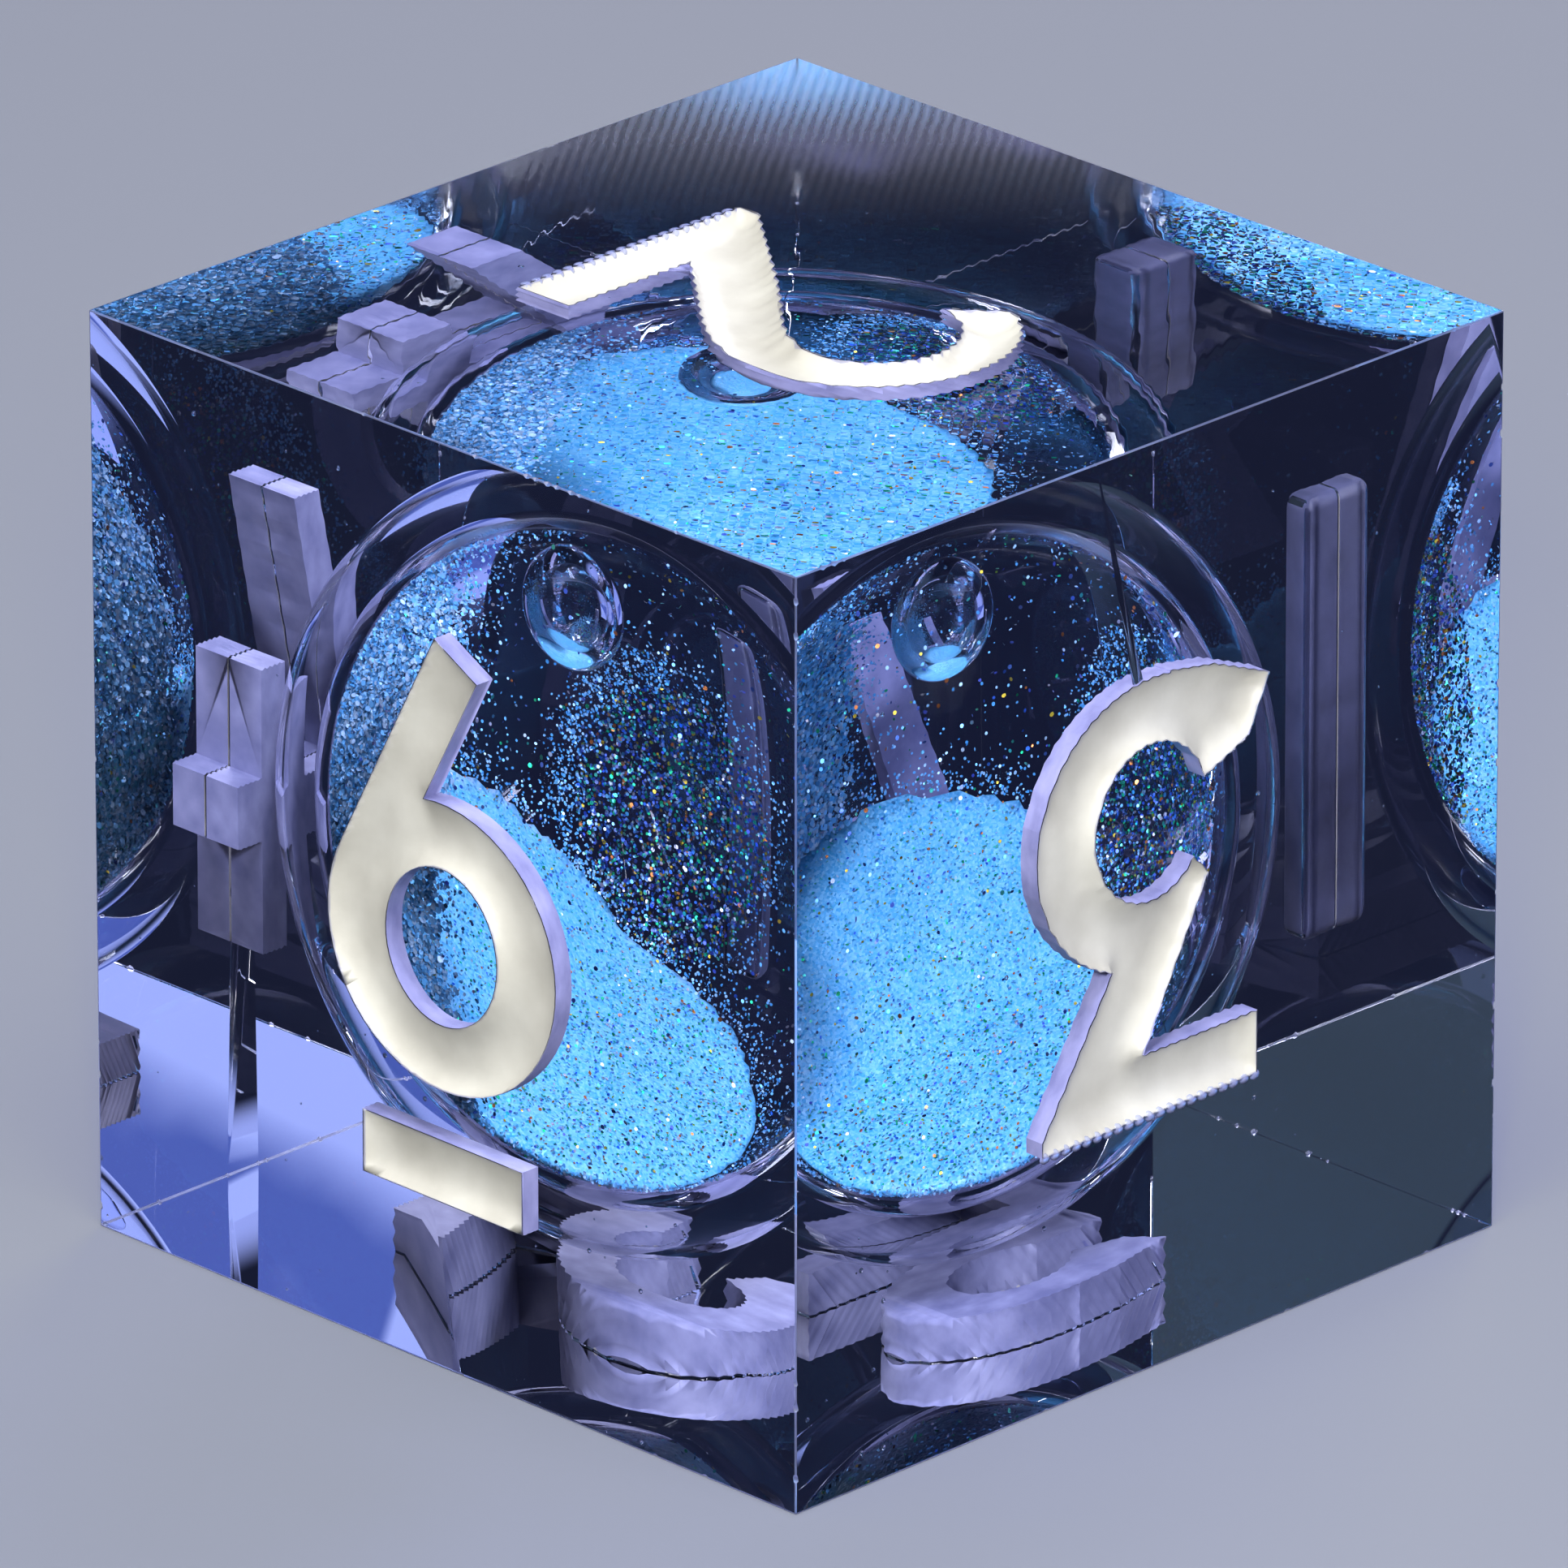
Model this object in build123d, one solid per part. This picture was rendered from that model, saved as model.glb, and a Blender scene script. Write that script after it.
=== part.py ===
from build123d import *
import os
from math import cos, pi, radians, sin, sqrt

# Clear cast six-sided die with a liquid core. Millimetres, +Z up.
# Origin: centre of the bottom face. -Y shows the 6, +X the 3 and +Z the 2.

# --- block ---
die_edge = 16.0
numeral_depth = 0.75
paint_recess = 0.3

# --- liquid core: a hollow ball cast into the block, a little off centre ---
resin_under_numeral = 0.25
core_shift = Vector(-0.3, -0.3, -0.4)
core_wall = 0.65
bond_gap = 0.02
fill_hole_diameter = 1.2
fill_hole_direction = Vector(-0.35, 0.55, -0.76)

# --- what moves inside the core ---
wall_film = 0.14
bubble_diameter = 2.2
bubble_gap = 0.06
bubble_lean = Vector(-0.45, -0.15, 4.5)
powder_depth = 3.1
powder_slope = Vector(0.458, -0.095, 0.884)

# --- glitter ---
flake_width = 0.34
flake_thickness = 0.05
flake_gap = 0.03
wall_flake_count = 150
bed_flake_count = 60
golden_angle = pi * (3 - sqrt(5))

# --- numerals, each drawn upright about the centre of its face ---
stroke = 1.08
numeral_height = 7.75
bowl_half_width = 2.6
bowl_half_height = 2.48
counter_half_width = 1.27
counter_half_height = 1.36
bar_half_length = 2.45
arch_radius = 2.42

six_lift = 0.72
six_lean = 28.0
underline_top = -4.03
underline_half_length = 1.82

# --- worked out from the values above ---
half_edge = die_edge / 2
block_centre = Vector(0, 0, half_edge)
core_centre = block_centre + core_shift
core_radius = half_edge - numeral_depth - resin_under_numeral + core_shift.Z
inner_radius = core_radius - core_wall
fluid_radius = inner_radius - wall_film
numeral_top = numeral_height / 2
numeral_bottom = -numeral_height / 2
low_bowl_centre = numeral_bottom + bowl_half_height - 0.1


def ball(radius, centre=core_centre):
    return Pos(centre) * Sphere(radius)


def ellipse_at(half_width, half_height, x, y):
    return Pos(x, y) * Ellipse(half_width, half_height)


def rectangle_between(left, bottom, right, top):
    return Pos((left + right) / 2, (bottom + top) / 2) * Rectangle(right - left, top - bottom)


def outline(*points):
    return make_face(Polyline(*points, close=True))


# --- the six numerals, as flat faces ---
def bowl(y):
    ring = ellipse_at(bowl_half_width, bowl_half_height, 0, y)
    return ring - ellipse_at(counter_half_width, counter_half_height, 0, y)


def numeral_one():
    return rectangle_between(-stroke / 2, numeral_bottom, stroke / 2, numeral_top)


def numeral_two():
    arch = numeral_top - arch_radius
    base = numeral_bottom + stroke * 1.08
    foot_tip = (-2.58, numeral_bottom + 0.4)
    outer_arc = ThreePointArc(
        (-2.42, arch + 0.97), (-0.2, numeral_top), (-0.2 + arch_radius, arch)
    )
    outer_sweep = Spline(outer_arc @ 1, (1.12, -1.05), (-0.3, base), tangents=[(0, -1), (-0.75, -0.9)])
    foot = Polyline(
        outer_sweep @ 1,
        (bar_half_length, base),
        (bar_half_length, numeral_bottom),
        (-2.58, numeral_bottom),
        foot_tip,
    )
    inner_sweep = Spline(foot_tip, (0.15, -0.2), (1.1, arch), tangents=[(0.66, 0.8), (0.1, 1)])
    inner_arc = ThreePointArc(
        inner_sweep @ 1, (-0.17, numeral_top - stroke * 0.92), (-1.7, arch + 0.13)
    )
    end = Line(inner_arc @ 1, outer_arc @ 0)
    return make_face([outer_arc, outer_sweep, foot, inner_sweep, inner_arc, end])


def lower_bowl(upper_lip):
    """The bowl shared by the 3 and the 5, open on the left between its upper lip and its tail."""
    y = low_bowl_centre
    mouth = outline(*upper_lip, (-0.15, y), (-2.2, y - 0.85), (-2.67, y - 1.8), (-5, y - 1.8))
    tail = outline(
        (-0.4, y - bowl_half_height),
        (-1.4, y - 2.31),
        (-2.67, y - 1.8),
        (-2.2, y - 0.85),
        (-0.95, y - 1.15),
        (-0.4, y - 1.6),
    )
    return bowl(y) - mouth + tail


def numeral_three():
    top = numeral_top - 0.3
    cusp = (-1.3, low_bowl_centre + 1.25)
    inner_corner = (0.17, top - stroke)
    bar = rectangle_between(-bar_half_length, top - stroke, 0.5, top)
    diagonal = outline(
        (0.17, top),
        (bar_half_length, top),
        (bar_half_length, top - 0.25),
        (0.7, low_bowl_centre + 2.07),
        cusp,
        inner_corner,
    )
    return bar + diagonal + lower_bowl([(-5, top - stroke), inner_corner, cusp])


def numeral_four():
    crossbar = rectangle_between(-2.9, -0.8 - stroke, 2.9, -0.8)
    stem = rectangle_between(0.7, numeral_bottom, 0.7 + stroke, 1.1)
    diagonal = outline(
        (-0.9, numeral_top), (0.2, numeral_top), (-1.6, -0.8), (-2.1, -1.2), (-2.9, -0.8)
    )
    return crossbar + stem + diagonal


def numeral_five():
    lip = low_bowl_centre + 0.8
    bar = rectangle_between(-2, numeral_top - stroke, bar_half_length, numeral_top)
    stem = outline(
        (-2, numeral_top),
        (-2 + stroke, numeral_top),
        (-2.35 + stroke, lip + 0.6),
        (-2.3 + stroke, lip),
        (-2.48, lip),
    )
    return bar + stem + lower_bowl([(-5, lip), (-1, lip)])


def numeral_six():
    centre = numeral_bottom + six_lift + bowl_half_height
    lean = radians(six_lean)
    along = Vector(sin(lean), cos(lean))
    outward = Vector(-cos(lean), sin(lean))
    reach = sqrt((bowl_half_width * outward.X) ** 2 + (bowl_half_height * outward.Y) ** 2)
    heel = Vector(0, centre) + outward * reach
    tip = heel + along * (numeral_top + six_lift - heel.Y) / cos(lean)
    ascender = outline(heel, tip, tip - outward * stroke, heel - outward * stroke)
    return bowl(centre) + ascender - ellipse_at(counter_half_width, counter_half_height, 0, centre)


def six_underline():
    return rectangle_between(
        -underline_half_length, underline_top - stroke, underline_half_length, underline_top
    )


# node: (drawing, outward direction of its face, direction of the numeral's right-hand side)
numerals = {
    "numeral_1": (numeral_one, Vector(0, 1, 0), Vector(-1, 0, 0)),
    "numeral_2": (numeral_two, Vector(0, 0, 1), Vector(0, -1, 0)),
    "numeral_3": (numeral_three, Vector(1, 0, 0), Vector(0, -1, 0)),
    "numeral_4": (numeral_four, Vector(-1, 0, 0), Vector(0, -1, 0)),
    "numeral_5": (numeral_five, Vector(0, 0, -1), Vector(0, -1, 0)),
    "numeral_6": (numeral_six, Vector(0, -1, 0), Vector(1, 0, 0)),
    "numeral_6_bar": (six_underline, Vector(0, -1, 0), Vector(1, 0, 0)),
}


def sunk(drawing, outward, right, near, far):
    """A numeral's prism between two depths under its face."""
    plane = Plane(block_centre + outward * (half_edge - far), x_dir=right, z_dir=outward)
    return extrude(plane * drawing(), far - near)


def resin_block():
    block = Pos(block_centre) * Box(die_edge, die_edge, die_edge)
    for drawing, outward, right in numerals.values():
        block -= sunk(drawing, outward, right, 0, numeral_depth)
    return block - ball(core_radius + bond_gap)


def whole_core_shell():
    return ball(core_radius) - ball(inner_radius)


def fill_hole():
    plane = Plane(core_centre, z_dir=fill_hole_direction)
    return extrude(plane * Circle(fill_hole_diameter / 2), die_edge / 2)


def core_shell():
    return whole_core_shell() - fill_hole()


def core_fill_plug():
    return whole_core_shell() & fill_hole()


# --- powder, liquid and glitter ---
def powder_plane(height=0.0):
    """The powder's sloping top, or a plane above it."""
    slope = powder_slope.normalized()
    level = powder_depth - fluid_radius + height
    return Plane(core_centre + slope * level, z_dir=slope)


def powder_bed():
    return split(ball(fluid_radius), bisect_by=powder_plane(), keep=Keep.BOTTOM)


def carrier_liquid():
    liquid = split(
        ball(fluid_radius),
        bisect_by=powder_plane(flake_thickness + 2 * flake_gap),
        keep=Keep.TOP,
    )
    rise = fluid_radius - bubble_diameter / 2 - bubble_gap
    return liquid - ball(bubble_diameter / 2, core_centre + bubble_lean.normalized() * rise)


def flake(plane):
    return extrude(plane * RegularPolygon(flake_width / 2, 6), flake_thickness)


def glitter_on_bed():
    """Flakes in a sunflower pattern on the powder's flat top."""
    top = powder_plane()
    top_radius = sqrt(fluid_radius**2 - (powder_depth - fluid_radius) ** 2) - flake_width
    flakes = []
    for index in range(bed_flake_count):
        reach = top_radius * sqrt((index + 0.5) / bed_flake_count)
        turn = index * golden_angle
        spot = top * Pos(reach * cos(turn), reach * sin(turn), 0)
        flakes.append(flake(Plane(spot.position, z_dir=top.z_dir)))
    return Compound(children=flakes)


def glitter_on_wall():
    """Flakes evenly spread over the film of liquid at the core's wall, above the powder."""
    reach = fluid_radius + flake_gap
    slope = powder_slope.normalized()
    flakes = []
    for index in range(wall_flake_count):
        height = 1 - 2 * (index + 0.5) / wall_flake_count
        turn = index * golden_angle
        ring = sqrt(1 - height**2)
        outward = Vector(ring * cos(turn), ring * sin(turn), height)
        if outward.dot(slope) > powder_depth / fluid_radius - 1:
            flakes.append(flake(Plane(core_centre + outward * reach, z_dir=outward)))
    return Compound(children=flakes)


os.makedirs("parts", exist_ok=True)
pieces = {
    "resin_block": resin_block(),
    "core_shell": core_shell(),
    "core_fill_plug": core_fill_plug(),
    "carrier_liquid": carrier_liquid(),
    "powder_bed": powder_bed(),
    "glitter_on_bed": glitter_on_bed(),
    "glitter_on_wall": glitter_on_wall(),
}
for node, (drawing, outward, right) in numerals.items():
    pieces[node] = sunk(drawing, outward, right, paint_recess, numeral_depth)
for node, piece in pieces.items():
    export_step(piece, f"parts/{node}.step")
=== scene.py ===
import math
import random

import bpy
from mathutils import Matrix, Vector, noise
from mathutils.kdtree import KDTree


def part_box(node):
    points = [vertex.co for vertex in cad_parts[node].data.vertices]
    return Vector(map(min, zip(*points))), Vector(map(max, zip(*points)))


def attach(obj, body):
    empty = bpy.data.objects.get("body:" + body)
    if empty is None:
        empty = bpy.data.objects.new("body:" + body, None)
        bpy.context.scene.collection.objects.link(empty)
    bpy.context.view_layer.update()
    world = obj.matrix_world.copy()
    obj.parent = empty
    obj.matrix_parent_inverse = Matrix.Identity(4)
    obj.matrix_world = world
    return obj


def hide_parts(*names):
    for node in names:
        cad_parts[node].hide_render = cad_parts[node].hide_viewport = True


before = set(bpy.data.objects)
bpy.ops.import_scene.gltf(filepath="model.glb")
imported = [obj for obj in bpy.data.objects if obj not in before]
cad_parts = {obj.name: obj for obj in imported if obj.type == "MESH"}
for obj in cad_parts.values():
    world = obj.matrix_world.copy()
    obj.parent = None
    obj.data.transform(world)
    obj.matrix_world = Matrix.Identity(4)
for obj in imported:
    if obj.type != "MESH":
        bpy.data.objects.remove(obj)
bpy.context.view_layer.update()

# ---------------------------------------------------------------------------
# Camera: a long lens well over a third of a metre away, looking down on the
# corner between the faces with the 6 and the 3.
# ---------------------------------------------------------------------------
MM = 0.001
view_azimuth = math.radians(45.08)
view_elevation = math.radians(22.72)
view_distance = 369.1 * MM
lens_mm = 525.6

forward = Vector(
    (
        -math.sin(view_azimuth) * math.cos(view_elevation),
        math.cos(view_azimuth) * math.cos(view_elevation),
        -math.sin(view_elevation),
    )
)
right = forward.cross(Vector((0, 0, 1))).normalized()
upward = right.cross(forward)
look_at = Vector((0, 0, 8 * MM)) - 0.2 * MM * (right + upward)

camera_data = bpy.data.cameras.new("camera")
camera_data.lens = lens_mm
camera_data.sensor_width = 36
camera_data.clip_start = 0.01
camera_data.clip_end = 10
camera = bpy.data.objects.new("camera", camera_data)
bpy.context.collection.objects.link(camera)
camera.location = look_at - forward * view_distance
camera.rotation_euler = forward.to_track_quat("-Z", "Y").to_euler()
bpy.context.scene.camera = camera


# ---------------------------------------------------------------------------
# Studio: a plain pale floor, five soft boxes and a dim blue room.
# The floor and every lamp but the top one are kept out of what shows through
# the clear die.
# ---------------------------------------------------------------------------
def linear(hex_colour):
    """An sRGB hex colour as linear RGBA."""
    parts = [int(hex_colour[i : i + 2], 16) / 255 for i in (1, 3, 5)]
    return [c / 12.92 if c <= 0.04045 else ((c + 0.055) / 1.055) ** 2.4 for c in parts] + [1.0]


def add_node(tree, kind, **settings):
    """A node with its settings. A socket given as a value is linked, and in_3 is input number 3."""
    node = tree.nodes.new(kind)
    for key, value in settings.items():
        slot = None
        if key.startswith("in_"):
            name = key[3:]
            slot = node.inputs[int(name)] if name.isdigit() else node.inputs[name.replace("_", " ")]
        if slot is None:
            setattr(node, key, value)
        elif isinstance(value, bpy.types.NodeSocket):
            tree.links.new(value, slot)
        else:
            slot.default_value = value
    return node


def new_material(name):
    """An empty node material and its tree."""
    material = bpy.data.materials.new(name)
    material.use_nodes = True
    material.node_tree.nodes.clear()
    return material, material.node_tree


def only(piece):
    """Selects one piece alone."""
    bpy.ops.object.select_all(action="DESELECT")
    piece.select_set(True)
    bpy.context.view_layer.objects.active = piece


def soft_box(name, place, size, watts, colour, target=Vector((0, 0, 8 * MM))):
    """A square lamp that looks at the die."""
    data = bpy.data.lights.new(name, "AREA")
    data.shape = "RECTANGLE"
    data.size, data.size_y = size
    data.energy = watts
    data.color = linear(colour)[:3]
    lamp = bpy.data.objects.new(name, data)
    bpy.context.collection.objects.link(lamp)
    lamp.location = place
    lamp.rotation_euler = (target - Vector(place)).to_track_quat("-Z", "Y").to_euler()
    lamp.visible_transmission = False
    return lamp


top_box = soft_box("top_box", (0.06, -0.075, 0.25), (0.15, 0.15), 1.05, "#f6f7ff")
top_box.visible_transmission = True
soft_box("left_box", (-0.22, -0.16, 0.12), (0.14, 0.14), 0.12, "#fff8ee")
soft_box("right_box", (0.24, 0.02, 0.10), (0.12, 0.12), 0.12, "#eeeeff")
soft_box("back_box", (-0.10, 0.26, 0.14), (0.14, 0.14), 0.6, "#f4f2ff")
soft_box("front_box", (0.265, -0.275, 0.20), (0.06, 0.06), 2.2, "#ffffff")

world = bpy.data.worlds.new("room")
bpy.context.scene.world = world
world.use_nodes = True
tree = world.node_tree
tree.nodes.clear()
compass = add_node(tree, "ShaderNodeTexCoord")
night = add_node(tree, "ShaderNodeRGB")
night.outputs[0].default_value = linear("#191d30")
tone = night.outputs[0]
# Two soft glows low in the room: which way each lies, the cosines where it starts and where it
# is full, and its colour.
room_glows = (
    ((0.65, 0.65, 0.39), 0.80, 0.95, "#a6b5ff"),
    ((-0.65, -0.65, 0.39), 0.75, 0.95, "#3b4857"),
)
for towards, wide, narrow, colour in room_glows:
    along = add_node(
        tree, "ShaderNodeVectorMath", operation="DOT_PRODUCT",
        in_0=compass.outputs["Generated"], in_1=towards,
    )
    glow = add_node(
        tree, "ShaderNodeMapRange", interpolation_type="SMOOTHSTEP",
        in_Value=along.outputs["Value"], in_From_Min=wide, in_From_Max=narrow,
    )
    mixed = add_node(
        tree, "ShaderNodeMix", data_type="RGBA", in_0=glow.outputs[0], in_6=tone, in_7=linear(colour)
    )
    tone = mixed.outputs[2]
room = add_node(tree, "ShaderNodeBackground", in_Color=tone, in_Strength=1.0)
add_node(tree, "ShaderNodeOutputWorld", in_Surface=room.outputs[0])

floor_size = 1.2
floor_gap = 0.01 * MM
bpy.ops.mesh.primitive_plane_add(size=floor_size, location=(0, 0, -floor_gap))
floor = bpy.context.object
floor.name = "floor"
material, tree = new_material("matt card")
matt = add_node(tree, "ShaderNodeBsdfPrincipled", in_Base_Color=linear("#70747d"), in_Roughness=0.9)
add_node(tree, "ShaderNodeOutputMaterial", in_Surface=matt.outputs[0])
floor.data.materials.append(material)
floor.visible_transmission = False
floor.visible_glossy = False

# A small soft glow stands behind the die. Only light that leaves the clear block meets it.
card_centre = Vector((12.25, 24.25, 12.05)) * MM
card_width, card_height = 15 * MM, 11 * MM
card_facing = Vector((-0.65, -0.65, -0.386))
cloud_size = 3.5 * MM
bpy.ops.mesh.primitive_plane_add(size=1, location=card_centre)
card = bpy.context.object
card.name = "glow_card"
card.scale = (card_width, card_height, 1)
card.rotation_euler = card_facing.to_track_quat("Z", "Y").to_euler()
bpy.ops.object.transform_apply(location=False, rotation=False, scale=True)
material, tree = new_material("glow card")
place = add_node(tree, "ShaderNodeTexCoord")
lean = add_node(
    tree, "ShaderNodeVectorMath", operation="DOT_PRODUCT",
    in_0=place.outputs["Object"], in_1=(-0.55 / MM, -1.0 / MM, 0),
)
fade = add_node(
    tree, "ShaderNodeMapRange", interpolation_type="SMOOTHSTEP",
    in_Value=lean.outputs["Value"], in_From_Min=-1.6, in_From_Max=1.8,
)
cloud = add_node(
    tree, "ShaderNodeTexNoise", in_Vector=place.outputs["Object"], in_Scale=1 / cloud_size, in_Detail=3.0
)
uneven = add_node(
    tree, "ShaderNodeMath", operation="MULTIPLY_ADD",
    in_0=cloud.outputs["Fac"], in_1=0.5, in_2=fade.outputs[0],
)
tone = add_node(tree, "ShaderNodeValToRGB", in_Fac=uneven.outputs[0])
tone.color_ramp.elements[0].position = 0.25
tone.color_ramp.elements[0].color = linear("#5163b4")
tone.color_ramp.elements[1].position = 0.8
tone.color_ramp.elements[1].color = linear("#a8b8ff")
glow = add_node(tree, "ShaderNodeEmission", in_Color=tone.outputs["Color"], in_Strength=1.15)
add_node(tree, "ShaderNodeOutputMaterial", in_Surface=glow.outputs[0])
card.data.materials.append(material)
card.visible_camera = False
card.visible_diffuse = False
card.visible_glossy = False
card.visible_shadow = False

scene = bpy.context.scene
scene.view_settings.view_transform = "Standard"
scene.cycles.max_bounces = 32
scene.cycles.transmission_bounces = 28
scene.cycles.glossy_bounces = 16
scene.cycles.diffuse_bounces = 2
scene.cycles.transparent_max_bounces = 24
scene.cycles.caustics_refractive = False
scene.cycles.caustics_reflective = False


# ---------------------------------------------------------------------------
# Painted numerals: thick ivory acrylic paint wiped into the sunken numerals.
# It dries as a hollow channel, high at the walls. The walls carry the layer
# steps of the printed master that the mould was made from.
# ---------------------------------------------------------------------------
layer_step = 0.23 * MM
# How deep the steps are, and which way they are stacked, on faces that look along X, Y and Z.
layer_relief = (0.014 * MM, 0.006 * MM, 0.03 * MM)
layer_way = (Vector((0, 1, 0)), Vector((0, 1, 0)), Vector((0, 1, 0.75)))
numeral_depth = 0.75 * MM
rim_depth = 0.025 * MM
channel_depth = 0.27 * MM
channel_half_width = 0.5 * MM
channel_grid = 0.13 * MM
edge_sample = 0.04 * MM
bar_rounding = 0.34 * MM
bond = 0.012 * MM
merge_gap = 0.001 * MM
bisect_gap = 0.0001 * MM
block_low, block_high = (Vector(corner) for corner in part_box("resin_block"))
block_centre = (block_low + block_high) / 2
half_edge = (block_high.x - block_low.x) / 2


def outward_of(node):
    """The direction that a numeral's face looks in."""
    low, high = (Vector(corner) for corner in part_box(node))
    lean = (low + high) / 2 - block_centre
    axis = max(range(3), key=lambda i: abs(lean[i]))
    way = Vector((0, 0, 0))
    way[axis] = 1 if lean[axis] > 0 else -1
    return way, axis


def layer_wave(height):
    """From -1 to 1 and back, once for each printed layer."""
    return 4 * abs(((height / layer_step) % 1) - 0.5) - 1


def cut_by_planes(way, low, high, step):
    """Evenly spaced planes across one direction, as a point and a normal each."""
    for index in range(math.floor(low / step) + 1, math.ceil(high / step)):
        yield way * index * step / way.length_squared, way.normalized()


def numeral_prism(node, name, near):
    """The numeral as a prism with its top at another depth, and with stepped walls."""
    outward, depth_axis = outward_of(node)
    piece = bpy.data.objects.new(name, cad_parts[node].data.copy())
    bpy.context.collection.objects.link(piece)
    piece.data.materials.clear()
    only(piece)
    bpy.ops.object.mode_set(mode="EDIT")
    bpy.ops.mesh.select_all(action="SELECT")
    bpy.ops.mesh.remove_doubles(threshold=merge_gap)
    bpy.ops.mesh.dissolve_limited(angle_limit=math.radians(0.5))
    bpy.ops.object.mode_set(mode="OBJECT")
    if node == "numeral_1":
        round_bottom(piece, outward)
    middle = sum(depth_range(piece, outward)) / 2
    for vertex in piece.data.vertices:
        if depth_of(vertex, outward) < middle:
            vertex.co += outward * (depth_of(vertex, outward) - near)
    heights = [vertex.co.dot(layer_way[depth_axis]) for vertex in piece.data.vertices]
    bpy.ops.object.mode_set(mode="EDIT")
    for place, normal in cut_by_planes(layer_way[depth_axis], min(heights), max(heights), layer_step / 2):
        bpy.ops.mesh.select_all(action="SELECT")
        bpy.ops.mesh.bisect(plane_co=place, plane_no=normal, threshold=bisect_gap)
    bpy.ops.object.mode_set(mode="OBJECT")
    push_walls(piece, outward, layer_relief[depth_axis], layer_way[depth_axis])
    return piece, outward, depth_axis


def round_bottom(piece, outward):
    """Rounds a bar at its ends and along its bottom, as its cutter left it."""
    select_faces(piece, lambda face: face.normal.dot(outward) < 0.7)
    only(piece)
    bpy.ops.object.mode_set(mode="EDIT")
    bpy.ops.mesh.select_mode(type="FACE")
    bpy.ops.mesh.bevel(offset=bar_rounding, segments=4, profile=0.5, clamp_overlap=True)
    bpy.ops.object.mode_set(mode="OBJECT")


def depth_of(vertex, outward):
    """How far a point lies under the block's face."""
    return half_edge - (vertex.co - block_centre).dot(outward)


def depth_range(piece, outward):
    depths = [depth_of(vertex, outward) for vertex in piece.data.vertices]
    return min(depths), max(depths)


def wall_normals(piece, outward):
    """For each vertex on a side wall, the wall's direction there."""
    normals = {}
    for polygon in piece.data.polygons:
        if abs(polygon.normal.dot(outward)) < 0.5:
            for index in polygon.vertices:
                normals[index] = normals.get(index, Vector((0, 0, 0))) + polygon.normal
    return {i: (n - outward * n.dot(outward)).normalized() for i, n in normals.items()}


def push_walls(piece, outward, relief, way):
    """Gives the walls the layer steps of the printed master."""
    for index, normal in wall_normals(piece, outward).items():
        vertex = piece.data.vertices[index]
        uneven = 1 + 0.8 * noise.noise(vertex.co / (0.9 * MM))
        vertex.co += normal * relief * uneven * layer_wave(vertex.co.dot(way))


def hollow_channel(piece, outward, depth_axis):
    """Divides the prism's top finely and sinks it into a channel."""
    extent = [
        (min(v.co[i] for v in piece.data.vertices), max(v.co[i] for v in piece.data.vertices))
        for i in range(3)
    ]
    only(piece)
    for axis in range(3):
        if axis == depth_axis or (axis == 1 and depth_axis != 1):
            continue
        across = Vector([1 if i == axis else 0 for i in range(3)])
        for place, normal in cut_by_planes(across, *extent[axis], channel_grid):
            select_faces(piece, lambda face: face.normal.dot(outward) > 0.7)
            bpy.ops.object.mode_set(mode="EDIT")
            bpy.ops.mesh.bisect(plane_co=place, plane_no=normal, threshold=bisect_gap)
            bpy.ops.object.mode_set(mode="OBJECT")
    walls = wall_normals(piece, outward)
    top = {
        index
        for face in piece.data.polygons
        if face.normal.dot(outward) > 0.7
        for index in face.vertices
    }
    edge_points = []
    for edge in piece.data.edges:
        a, b = edge.vertices
        if a in top and b in top and a in walls and b in walls:
            start, end = piece.data.vertices[a].co, piece.data.vertices[b].co
            parts = max(1, math.ceil((end - start).length / edge_sample))
            edge_points += [start.lerp(end, i / parts) for i in range(parts)]
    tree_of_edge = KDTree(len(edge_points))
    for index, point in enumerate(edge_points):
        tree_of_edge.insert(point, index)
    tree_of_edge.balance()
    for index in top - set(walls):
        vertex = piece.data.vertices[index]
        inward = min(1, tree_of_edge.find(vertex.co)[2] / channel_half_width)
        wobble = 1 + 0.12 * noise.noise(vertex.co / (1.1 * MM))
        vertex.co -= outward * channel_depth * wobble * math.sin(inward * math.pi / 2) ** 0.6


def select_faces(piece, test):
    """Selects, in object mode, the faces that pass a test."""
    for face in piece.data.polygons:
        face.select = test(face)
    for edge in piece.data.edges:
        edge.select = False
    for vertex in piece.data.vertices:
        vertex.select = False
    for face in piece.data.polygons:
        if face.select:
            for index in face.vertices:
                piece.data.vertices[index].select = True


def smooth_shade(piece, degrees=35):
    """Smooth shading that keeps the edges sharper than this angle."""
    only(piece)
    bpy.ops.object.shade_smooth_by_angle(angle=math.radians(degrees))


# Acrylic craft paint, wiped in and dried: satin, warm white, a little blotchy.
material, tree = new_material("ivory acrylic paint")
place = add_node(tree, "ShaderNodeTexCoord")
blotches = add_node(
    tree, "ShaderNodeTexNoise", in_Vector=place.outputs["Object"], in_Scale=1 / (1.6 * MM), in_Detail=4.0
)
ivory = add_node(tree, "ShaderNodeValToRGB", in_Fac=blotches.outputs["Fac"])
ivory.color_ramp.elements[0].position = 0.3
ivory.color_ramp.elements[0].color = linear("#a7a498")
ivory.color_ramp.elements[1].position = 0.7
ivory.color_ramp.elements[1].color = linear("#c3c1b5")
brushed = add_node(
    tree, "ShaderNodeTexNoise", in_Vector=place.outputs["Object"], in_Scale=1 / (0.12 * MM), in_Detail=3.0
)
relief = add_node(
    tree, "ShaderNodeBump", in_Height=brushed.outputs["Fac"], in_Strength=0.25, in_Distance=0.01 * MM
)
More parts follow.
